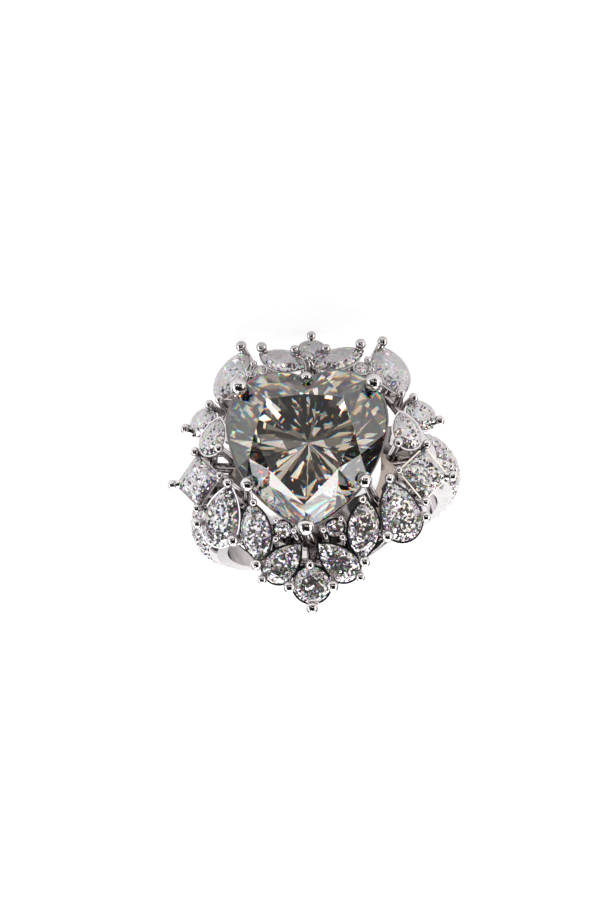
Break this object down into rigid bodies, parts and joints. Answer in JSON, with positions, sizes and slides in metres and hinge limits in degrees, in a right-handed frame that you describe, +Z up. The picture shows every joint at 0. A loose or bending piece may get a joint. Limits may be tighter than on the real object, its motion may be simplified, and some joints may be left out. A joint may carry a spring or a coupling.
{
  "type": "halo ring",
  "caption": "Domed cluster ring: a heart stone on prongs inside a halo of marquise, pear, round and square stones, on a shank with pavé shoulders.",
  "frame": {"origin": "on the table that the ring lies on, under the middle of its bounding box", "axes": "+Z up from the table; -Y the way the head looks, lying on its side; +X to the left of someone who looks at the head with the heart's point down"},
  "size_m": [0.0222, 0.0271, 0.0207],
  "materials": {
    "metal": "polished rhodium-plated silver",
    "heart": "polished, faceted",
    "stones": "polished, faceted"
  },
  "bodies": {
    "root": {"heart_stone": "heart", "marquise_cheek_left": "stones", "marquise_cheek_right": "stones", "marquise_low_left": "stones", "marquise_low_right": "stones", "marquise_top_left": "stones", "marquise_top_right": "stones", "mounting": "metal", "pave_left": "stones", "pave_right": "stones", "pear_inner_left": "stones", "pear_inner_right": "stones", "pear_low_left": "stones", "pear_low_right": "stones", "pear_shoulder_left": "stones", "pear_shoulder_right": "stones", "round_bottom": "stones", "round_inner_left": "stones", "round_inner_right": "stones", "round_side_left": "stones", "round_side_right": "stones", "round_tip_left": "stones", "round_tip_right": "stones", "round_top": "stones", "square_side_left": "stones", "square_side_right": "stones"}
  },
  "joints": []
}
